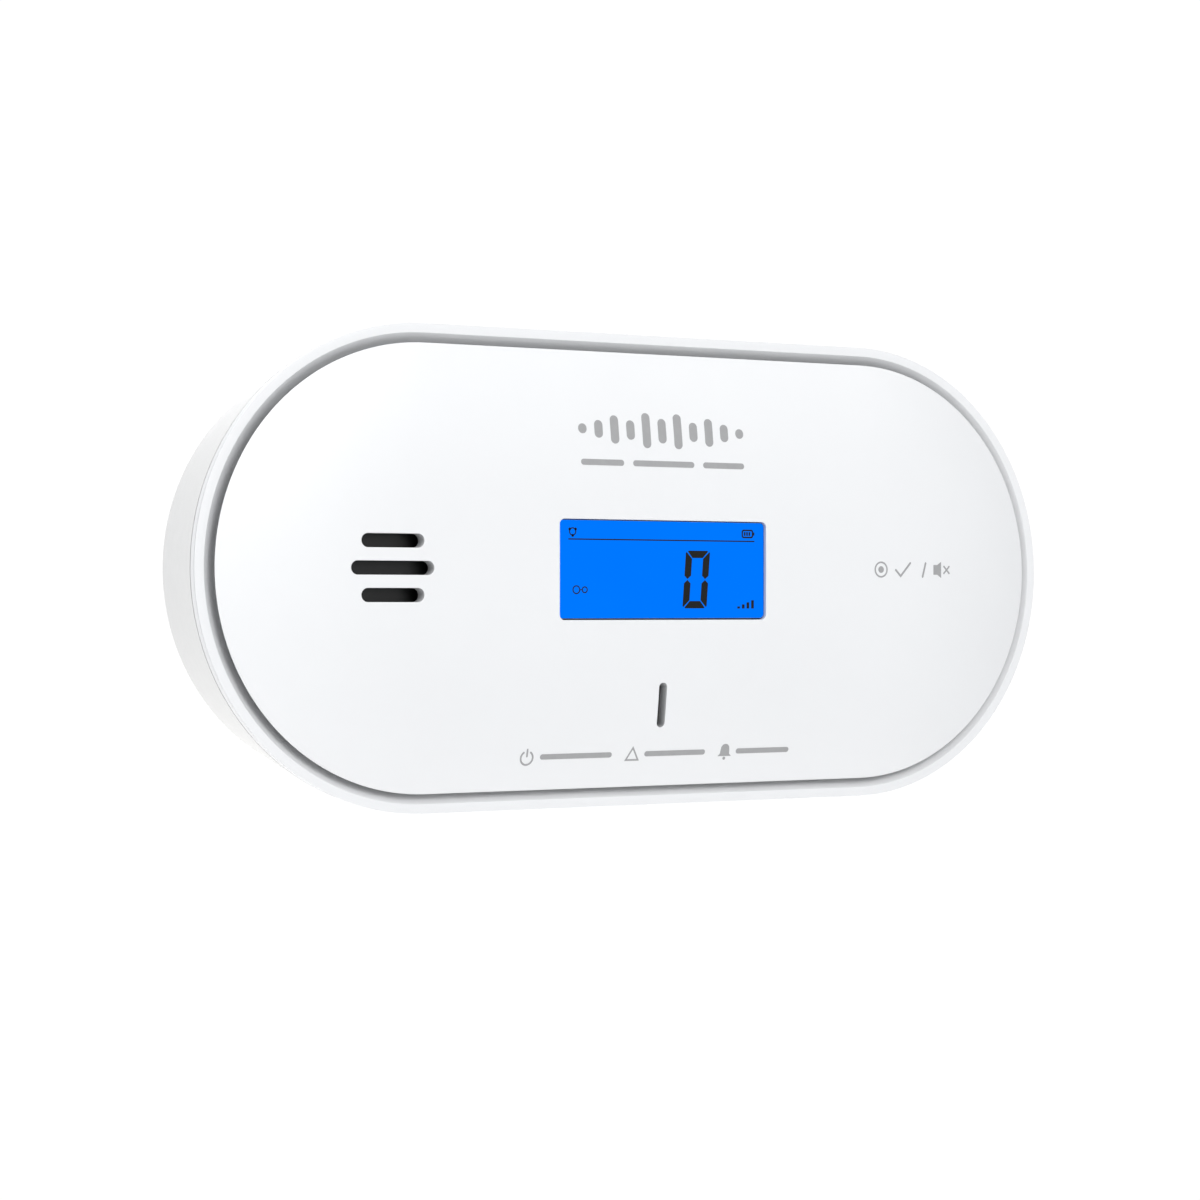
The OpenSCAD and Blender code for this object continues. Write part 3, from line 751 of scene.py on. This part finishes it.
def build_battery_bay():
    """The box round the cells, with the pocket that the door's hinge turns in."""
    outer_x, outer_y, foot_z = bay_x + bay_wall, bay_y + bay_wall, floor_z - 0.2

    def draw_pocket_box(tool):
        block(tool, (-outer_x, pocket_y - 1.2, foot_z), (outer_x, -bay_y, pocket_z + 1.2))

    def draw_bay_hollow(tool):
        block(tool, (-bay_x, -bay_y, plinth_z - 1), (bay_x, bay_y, bay_top))

    def draw_pocket_hollow(tool):
        block(tool, (-bay_x, pocket_y, plinth_z - 1), (bay_x, -bay_y + 1, pocket_z))

    bm = bmesh.new()
    block(bm, (-outer_x, -outer_y, foot_z), (outer_x, outer_y, bay_top + 1))
    bay = make_object("battery_bay", bm, 40)
    combine(bay, draw_pocket_box, "UNION")
    combine(bay, draw_bay_hollow, "DIFFERENCE")
    combine(bay, draw_pocket_hollow, "DIFFERENCE")
    soften(bay, 0.18)
    finish_piece(bay, "unit", "side_white")


def build_rear_posts():
    """Bosses of the housing screws, and the ledges that the closed door rests on."""
    ledge_half_l, ledge_z0, ledge_z1 = 6, 5, 6
    bm = bmesh.new()
    for sx in (-1, 1):
        for sy in (-1, 1):
            x, y = sx * post_x, sy * post_y
            rod(bm, (x, y, 10.9), (x, y, 21.8), 2.8, 2.6)
        x0, x1 = sorted((sx * (bay_x - 1.2), sx * (bay_x + 0.2)))
        block(bm, (x0, -ledge_half_l, ledge_z0), (x1, ledge_half_l, ledge_z1))
    posts = make_object("rear_housing_posts", bm, 40)
    soften(posts, 0.15)
    finish_piece(posts, "unit", "side_white")


def build_battery_door():
    half = bay_x - 0.3
    knuckle_r, pin_r, pin_l = 1.5, 0.9, 1.5
    groove_y, groove_pitch, groove_deep = 8.35, 1.6, 0.4

    def draw_knuckle(tool):
        rod(tool, (-half, door_axis_y, door_axis_z), (half, door_axis_y, door_axis_z), knuckle_r)

    def draw_pins(tool):
        end = half + pin_l
        rod(tool, (-end, door_axis_y, door_axis_z), (end, door_axis_y, door_axis_z), pin_r)

    def draw_lip(tool):
        block(tool, (-5, door_top - 0.5, plinth_z + 0.7), (5, door_top + 1.2, door_in_z))

    def draw_grooves(tool):
        for i in range(4):
            groove = outline(slot(0, groove_y + groove_pitch * i, 12, 0.7), 0, 5)
            prism(tool, groove, plinth_z - 1, plinth_z + groove_deep)

    bm = bmesh.new()
    block(bm, (-half, door_axis_y, plinth_z), (half, door_top, door_in_z))
    door = make_object("battery_door_panel", bm, 40)
    combine(door, draw_knuckle, "UNION")
    combine(door, draw_pins, "UNION")
    combine(door, draw_lip, "UNION")
    combine(door, draw_grooves, "DIFFERENCE")
    soften(door, 0.2, 50)
    finish_piece(door, "door", "side_white", ["battery_door"])


# ---------------- wall bracket


def build_wall_bracket():
    thick, hole_r, half_spacing = 3, 2.25, 36
    bm = bmesh.new()
    outer = (pill(bracket_high.y), edge_rings(0.35, 0.15, steps=4))
    window = (rectangle(0, -1.6, 59, 36, 3), edge_rings(0.3, 0.15, steps=4))
    countersink = [
        ("top", 2.1, 0), ("top", 1.98, 0), ("top", 1.92, 0.05), ("top", 0.02, 1.58), ("top", 0, 1.62),
        ("bottom", 0, 0.1), ("bottom", 0.1, 0), ("bottom", 0.22, 0),
    ]
    screws = [((side * half_spacing, 0, 0, 0, hole_r), countersink) for side in (-1, 1)]
    sheet_with_holes(bm, outer, [window] + screws, lambda x, y: thick, lambda x, y: 0, spacing=6, step=4)
    bracket = make_object("wall_bracket_plate", bm, 35)
    finish_piece(bracket, "bracket", "bracket_white", ["wall_bracket"])


def build_bracket_hooks():
    """Four upward hooks that the unit drops onto."""
    foot_z, under_z, tip_z, top_z = 2.8, 5.4, 6.0, 6.9
    bm = bmesh.new()
    for side in (-1, 1):
        x0, x1 = side * hook_x - hook_w / 2, side * hook_x + hook_w / 2
        for top in hook_tops:
            section = [
                (top - 2, foot_z), (top - 0.1, foot_z), (top - 0.1, under_z), (top + 5.4, under_z),
                (top + 6, tip_z), (top + 6, top_z), (top - 2, top_z),
            ]
            extrude(bm, [at(x0, y, z) for y, z in section], [at(x1, y, z) for y, z in section])
    hooks = make_object("wall_bracket_hooks", bm, 35)
    soften(hooks, 0.25)
    finish_piece(hooks, "bracket", "bracket_white")


# ---------------- printed marks


def pen(points, width, cap_steps=5):
    """The outline of an open line drawn with a round pen."""
    sharpest = 0.4                      # keeps the corner of a sharp bend from shooting out
    line = [Vector(p) for p in points]
    half = width / 2
    sides = {1: [], -1: []}
    for i, here in enumerate(line):
        before = (here - line[i - 1]).normalized() if i else None
        after = (line[i + 1] - here).normalized() if i + 1 < len(line) else None
        along = ((before or after) + (after or before)).normalized()
        normal = Vector((-along.y, along.x))
        stretch = 1.0
        if before and after:
            stretch = 1 / max(normal.dot(Vector((-after.y, after.x))), sharpest)
        for side in sides:
            sides[side].append(here + normal * side * half * stretch)

    def cap(centre, start):
        return [centre + turned(start, -math.pi * k / (cap_steps + 1)) for k in range(1, cap_steps + 1)]

    end = cap(line[-1], sides[1][-1] - line[-1])
    begin = cap(line[0], sides[-1][0] - line[0])
    return [tuple(p) for p in sides[1] + end + list(reversed(sides[-1])) + begin]


def ring_mark(cx, cy, r, width):
    return circle(cx, cy, r), [circle(cx, cy, r - width)]


def bar_mark(x0, x1, y0, y1, r):
    return outline(rectangle((x0 + x1) / 2, (y0 + y1) / 2, x1 - x0, y1 - y0, r), 0, 6), []


def line_mark(points, width):
    return pen(points, width), []


def cut_up(points, longest):
    """The same closed outline with no edge longer than longest."""
    result = []
    for i, here in enumerate(points):
        a, b = Vector(here), Vector(points[(i + 1) % len(points)])
        pieces = max(1, math.ceil((b - a).length / longest))
        result += [tuple(a.lerp(b, k / pieces)) for k in range(pieces)]
    return result


def inside_polygon(points, x, y):
    odd = False
    for i, (x0, y0) in enumerate(points):
        x1, y1 = points[i - 1]
        if (y0 > y) != (y1 > y) and x < (x1 - x0) * (y - y0) / (y1 - y0) + x0:
            odd = not odd
    return odd


def build_marks(name, marks, height, proud, sunk, body, look):
    """Thin printed marks that follow a surface: closed, a little proud of it and a little sunk in it."""
    longest_edge = 0.7
    bm = bmesh.new()
    for shape, openings in marks:
        edges = [cut_up(points, longest_edge) for points in [shape] + openings]

        def keep(x, y, margin):
            if not inside_polygon(edges[0], x, y):
                return False
            return not any(inside_polygon(edge, x, y) for edge in edges[1:])

        tops, bottoms = [], []
        for points in edges:
            top = [bm.verts.new(at(*p, height(*p) + proud)) for p in points]
            bottom = [bm.verts.new(at(*p, height(*p) - sunk)) for p in points]
            bridge(bm, top, bottom)
            tops.append(list(zip(points, top)))
            bottoms.append(list(zip(points, bottom)))
        fill(bm, tops, height, keep)
        fill(bm, bottoms, height, keep)
    obj = make_object(name, bm, 40)
    obj.data.materials.append(finish[look])
    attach(obj, body)


def emblem_marks():
    """A plain row of upright bars, low at both ends and tall in the middle."""
    heights = [0.28, 0.5, 0.8, 0.55, 1.0, 0.7, 1.0, 0.55, 0.8, 0.5, 0.28]
    pitch, width, tall, middle = 2.62, 1.35, 5.0, 19.7
    marks = []
    for i, share in enumerate(heights):
        x = (i - (len(heights) - 1) / 2) * pitch
        half = tall * share / 2
        marks.append(bar_mark(x - width / 2, x + width / 2, middle - half, middle + half, width / 2 - 0.02))
    return marks


def dash_line(x, y, lengths, gap, thick):
    """A row of plain dashes from x to the right."""
    marks = []
    for length in lengths:
        marks.append(bar_mark(x, x + length, y - thick / 2, y + thick / 2, thick / 2 - 0.01))
        x += length + gap
    return marks


def power_mark(cx, cy, r, width):
    stroke = [(cx, cy + r * 0.25), (cx, cy + r * 1.25)]
    return [line_mark(arc(cx, cy, r, 125, 415), width), line_mark(stroke, width)]


def triangle_mark(cx, cy, r, width):
    outer, inner = (arc(cx, cy, size, 90, 450, 3)[:-1] for size in (r, r - 2 * width))
    return [(outer, [inner])]


def bell_mark(cx, cy, r):
    mouth_y, hem_y = cy - 0.45 * r, cy - 0.72 * r
    dome = arc(cx, cy + 0.2 * r, 0.62 * r, 0, 180, 14)
    hem = [(cx - 0.7 * r, mouth_y), (cx - r, hem_y), (cx + r, hem_y), (cx + 0.7 * r, mouth_y)]
    return [(dome + hem, []), (circle(cx, cy - r, 0.2 * r, 14), [])]


def cross_mark(cx, cy, reach, width):
    """Two crossed strokes as one outline."""
    half, far = width / 2, reach * math.sqrt(2)
    corners = [(far, -half), (far, half), (half, half)]
    cross = [turned(corner, math.radians(45 + 90 * quarter)) for quarter in range(4) for corner in corners]
    return [(cx + x, cy + y) for x, y in cross], []


def speaker_off_marks(x, y, size):
    """A loudspeaker with a cross beside it."""
    box, horn = 0.3 * size, 0.61 * size
    body = [
        (x, y - box), (x + box, y - box), (x + horn, y - size / 2),
        (x + horn, y + size / 2), (x + box, y + box), (x, y + box),
    ]
    return [(body, []), cross_mark(x + 1.05 * size, y, 0.24 * size, 0.105 * size)]


def face_marks():
    marks = emblem_marks()
    marks += dash_line(-13.6, 15.0, [7.0, 10.2, 7.0], 1.5, 0.85)
    # press symbol, tick, slash and muted loudspeaker at the right end
    x, y, stroke = 37.7, 0.28, 0.3
    marks += [ring_mark(x, y, 1.2, 0.24), (circle(x, y, 0.5), [])]
    marks += [line_mark([(40.4, 0.23), (41.3, -0.67), (43.1, 1.28)], stroke)]
    marks += [line_mark([(45.43, -0.76), (46.0, 1.29)], stroke)]
    marks += speaker_off_marks(47.52, 0.3, 2.43)
    # power, fault and alarm symbols with a dash each under the LED slot
    row, dash = -26.13, 0.75
    marks += power_mark(-21.3, row - 0.1, 0.95, 0.26) + dash_line(-19.2, row, [11.6], 0, dash)
    marks += triangle_mark(-4.2, row - 0.25, 1.4, 0.24) + dash_line(-2.2, row, [10.2], 0, dash)
    marks += bell_mark(11.4, row + 0.15, 1.15) + dash_line(13.3, row, [9.2], 0, dash)
    return marks


# ---------------- display


def digit_zero():
    """Six slanted display segments that make a nought."""
    left, foot, tall, wide, thick, gap, lean = 3.15, -5.47, 8.23, 4.07, 1.1, 0.06, 0.075
    corner, cut, slope = 0.28, 0.12, 0.55
    half = tall / 2
    near, far = corner + gap, wide - corner - gap
    side = [
        (0, near), (cut, cut + gap), (thick, thick + gap), (thick, half - slope), (thick / 2, half - gap),
        (0, half - slope),
    ]
    end = [
        (near, cut), (near + cut, 0), (far - cut, 0), (far, cut), (wide - thick - gap, thick - gap),
        (thick + gap, thick - gap),
    ]

    def placed(segment, mirror_u, mirror_v):
        flipped = [(wide - u if mirror_u else u, tall - v if mirror_v else v) for u, v in segment]
        return [(left + u + lean * v, foot + v) for u, v in flipped], []

    sides = [placed(side, u, v) for u in (False, True) for v in (False, True)]
    return sides + [placed(end, False, False), placed(end, False, True)]


def display_marks():
    marks = digit_zero()
    # rule under the status row
    marks += [bar_mark(-15.6, 15.46, 4.11, 4.28, 0.05)]
    # ring of three dots
    x, y = -14.9, 5.25
    marks += [ring_mark(x, y, 0.58, 0.16)]
    marks += [(circle(x + dx, y + dy, 0.2, 16), []) for dx, dy in ((-0.48, 0.34), (0.48, 0.34), (0, -0.56))]
    # battery with its nub and three bars
    x, y = 14.24, 5.27
    case, hollow = rectangle(x, y, 1.98, 1.24, 0.35), rectangle(x, y, 1.54, 0.8, 0.16)
    marks += [(outline(case, 0, 5), [outline(hollow, 0, 5)])]
    marks += [bar_mark(x + 1.0, x + 1.2, y - 0.23, y + 0.23, 0.05)]
    marks += [bar_mark(x + dx, x + dx + 0.26, y - 0.27, y + 0.27, 0.04) for dx in (-0.59, -0.19, 0.21)]
    # gas symbol: two joined atoms
    x, y = -14.3, -2.87
    marks += [ring_mark(x, y, 0.62, 0.16), ring_mark(x + 1.35, y, 0.48, 0.16)]
    marks += [bar_mark(x + 0.64, x + 0.85, y - 0.08, y + 0.08, 0.05)]
    # level symbol: four rising bars
    x, y, pitch, width = 12.5, -5.5, 0.8, 0.45
    marks += [
        bar_mark(x + pitch * i, x + pitch * i + width, y, y + 0.3 * (i + 1), 0.06) for i in range(4)
    ]
    return marks


def build_display():
    bm = bmesh.new()
    loop = rectangle(0, 0, film_high.x - film_low.x, film_high.y - film_low.y, 0.65)
    outer = (loop, edge_rings(0.04, 0.04, steps=2, support=0.02))
    top, bottom = lambda x, y: film_high.z, lambda x, y: film_low.z
    sheet_with_holes(bm, outer, [], top, bottom, spacing=3, corner_steps=(8, 8), step=3)
    film = make_object("display_film", bm)
    finish_piece(film, "unit", "display_blue", ["lcd_polariser"])
    build_marks("display_marks", display_marks(), top, 0.012, 0.03, "unit", "display_mark")


# ---------------- cells


def build_cell(name, node, nub_on_right):
    """A dry cell lying along x: jacket with rolled ends, metal ends, band at the positive end."""
    low, high = node_box(node)
    y, z, r = (low.y + high.y) / 2, (low.z + high.z) / 2, (high.y - low.y) / 2
    nub_l, band_l = 1.4, 10
    step = 1 if nub_on_right else -1
    start, tip = (low.x, high.x) if nub_on_right else (high.x, low.x)
    end = tip - step * nub_l
    length = abs(end - start)

    # the rolled end of the jacket, as distance from the end and distance in from the radius
    rolled_end = [(0.25, 1.6), (0.1, 1.3), (0, 0.8), (0.05, 0.35), (0.3, 0.08), (0.7, 0)]
    jacket = [(mm / length, r - inwards) for mm, inwards in rolled_end]
    jacket += [(1 - (band_l + 0.2) / length, r)]
    jacket += [(1 - mm / length, r - inwards) for mm, inwards in reversed(rolled_end)]
    bm = bmesh.new()
    lathe(bm, (start, y, z), (end, y, z), jacket, 64)
    finish_piece(make_object(name, bm, 40), "unit", "cell_jacket", [node])

    band_from, band_to = 1 - band_l / length, 1 - 0.9 / length
    bm = bmesh.new()
    lathe(bm, (start, y, z), (end, y, z), [
        (band_from, r - 0.4), (band_from, r + 0.015), (band_to, r + 0.015), (band_to, r - 0.4),
    ], 64)
    finish_piece(make_object(name + "_band", bm, 40), "unit", "cell_band")

    bm = bmesh.new()
    lathe(bm, (end - step * 0.4, y, z), (tip, y, z), [
        (0, r - 1.2), (0.15, r - 1.2), (0.2, 3.1), (0.3, 2.75), (0.85, 2.65), (0.95, 2.5), (1, 2.1), (1, 0),
    ])
    lathe(bm, (start + step * 0.5, y, z), (start + step * 0.04, y, z), [
        (0, r - 1.2), (0.5, r - 1.2), (0.7, r - 1.5), (0.7, 3.4), (1, 3.1), (1, 0),
    ])
    finish_piece(make_object(name + "_ends", bm, 40), "unit", "contact_nickel")


# ---------------- carried-over CAD nodes

# the light bar gets the near-black painted shade, for the shade behind the LED slot
own_finish = {"led_light_bar": "painted_shade_black"}


def dress_cad_nodes():
    """Gives each CAD node that still shows its material."""
    slots = {part["node"]: part["material_slot"] for part in frame["record"]["subparts"]}
    for name, node in frame["nodes"].items():
        if node.hide_render:
            continue
        node.data.materials.clear()
        node.data.materials.append(finish[own_finish.get(name, slots[name])])


# ---------------- stage, light and camera

SEEN_WHITE = 1.05                       # the backdrop and the floor read as plain white

# name, place from the middle of the object, size in metres, watts and colour
SOFTBOXES = [
    ("above", (0.0, -0.95, 0.55), (0.5, 0.5), 3.447, (1, 1, 1)),
    ("front", (0.0, -1.1, 0.15), (0.3, 0.3), 0.771, (1, 1, 1)),
    ("upper_left", (-0.8, -0.15, 0.7), (0.7, 0.7), 5.556, (1, 1, 1)),
    ("left_front", (-0.5, -0.8, 0.5), (0.5, 0.5), 1.02, (1, 1, 1)),
    ("behind", (0.35, 0.95, 0.55), (0.7, 0.7), 3.0, (1, 1, 1)),
    ("below", (0.0, 0.11, -0.45), (0.4, 0.3), 1.525, (1.0, 0.975, 0.945)),
]


def seen_or_lit(tree, lit, seen):
    """A shader that is lit for the object and plain to the eye."""
    mix = tree.nodes.new("ShaderNodeMixShader")
    tree.links.new(tree.nodes.new("ShaderNodeLightPath").outputs["Is Camera Ray"], mix.inputs["Fac"])
    tree.links.new(lit, mix.inputs[1])
    tree.links.new(seen, mix.inputs[2])
    return mix.outputs["Shader"]


def build_stage():
    """A wide, plain, pale floor well below the object, which hangs at wall height."""
    bm = bmesh.new()
    size, drop = 6.0, 0.5
    middle = (cad_low + cad_high) / 2
    bmesh.ops.create_grid(bm, x_segments=4, y_segments=4, size=size)
    floor = make_object("floor", bm)
    floor.location = (middle.x, middle.y, middle.z - drop)
    material = surface("floor_white", (0.9, 0.9, 0.9), 0.9, 0.004, 3, 40, 0.1)
    tree = material.node_tree
    white = tree.nodes.new("ShaderNodeEmission")
    white.inputs["Strength"].default_value = SEEN_WHITE
    lit = tree.nodes["Principled BSDF"].outputs["BSDF"]
    tree.links.new(
        seen_or_lit(tree, lit, white.outputs["Emission"]), tree.nodes["Material Output"].inputs["Surface"]
    )
    floor.data.materials.append(material)


def build_softbox(name, place, size, watts, colour):
    """An area light that faces the middle of the object."""
    middle = (cad_low + cad_high) / 2
    light = bpy.data.lights.new(name, "AREA")
    light.shape = "RECTANGLE"
    light.size, light.size_y = size
    light.energy = watts
    light.color = colour
    obj = bpy.data.objects.new(name, light)
    obj.location = middle + Vector(place)
    obj.rotation_mode = "QUATERNION"
    obj.rotation_quaternion = (-Vector(place)).to_track_quat("-Z", "Y")
    obj.visible_camera = False
    bpy.context.scene.collection.objects.link(obj)


def build_light():
    world = bpy.data.worlds.new("studio")
    bpy.context.scene.world = world
    world.use_nodes = True
    tree = world.node_tree
    tree.nodes.clear()
    output = tree.nodes.new("ShaderNodeOutputWorld")
    seen = tree.nodes.new("ShaderNodeBackground")
    seen.inputs["Color"].default_value = (1, 1, 1, 1)
    seen.inputs["Strength"].default_value = SEEN_WHITE
    lit = tree.nodes.new("ShaderNodeBackground")
    lit.inputs["Color"].default_value = (0.97, 0.985, 1.0, 1)
    lit.inputs["Strength"].default_value = 0.634
    shader = seen_or_lit(tree, lit.outputs["Background"], seen.outputs["Background"])
    tree.links.new(shader, output.inputs["Surface"])
    for settings in SOFTBOXES:
        build_softbox(*settings)


def build_camera():
    """The view from the object's left, level with it, aimed near the middle of the front."""
    azimuth, elevation = math.radians(-30.53), math.radians(-0.13)
    distance, lens, sensor = 0.40514, 85.09, 36.0
    right_of_camera, above_camera, aim_depth = 0.0075, 0.00428, 29.5 * MM
    flat = math.cos(elevation)
    back = Vector((math.sin(azimuth) * flat, -math.cos(azimuth) * flat, math.sin(elevation)))
    turn = (-back).to_track_quat("-Z", "Y")
    right, up = turn @ Vector((1, 0, 0)), turn @ Vector((0, 1, 0))
    data = bpy.data.cameras.new("camera")
    data.lens = lens
    data.sensor_width = sensor
    data.clip_start, data.clip_end = 0.01, 50
    camera = bpy.data.objects.new("camera", data)
    camera.rotation_mode = "QUATERNION"
    camera.rotation_quaternion = turn
    aim = Vector((0, -aim_depth, 0))
    camera.location = aim + back * distance - right * right_of_camera - up * above_camera
    bpy.context.scene.collection.objects.link(camera)
    bpy.context.scene.camera = camera


# ---------------- the whole

build_camera()
build_front_plate()
build_front_housing()
build_front_posts()
build_rear_housing()
build_battery_bay()
build_rear_posts()
build_battery_door()
build_wall_bracket()
build_bracket_hooks()
build_display()
build_marks("printed_marks", face_marks(), crown, 0.02, 0.05, "plate", "print_grey")
build_cell("cell_upper", "battery_upper", nub_on_right=True)
build_cell("cell_lower", "battery_lower", nub_on_right=False)
dress_cad_nodes()
build_stage()
build_light()
bpy.context.scene.view_settings.view_transform = "Standard"
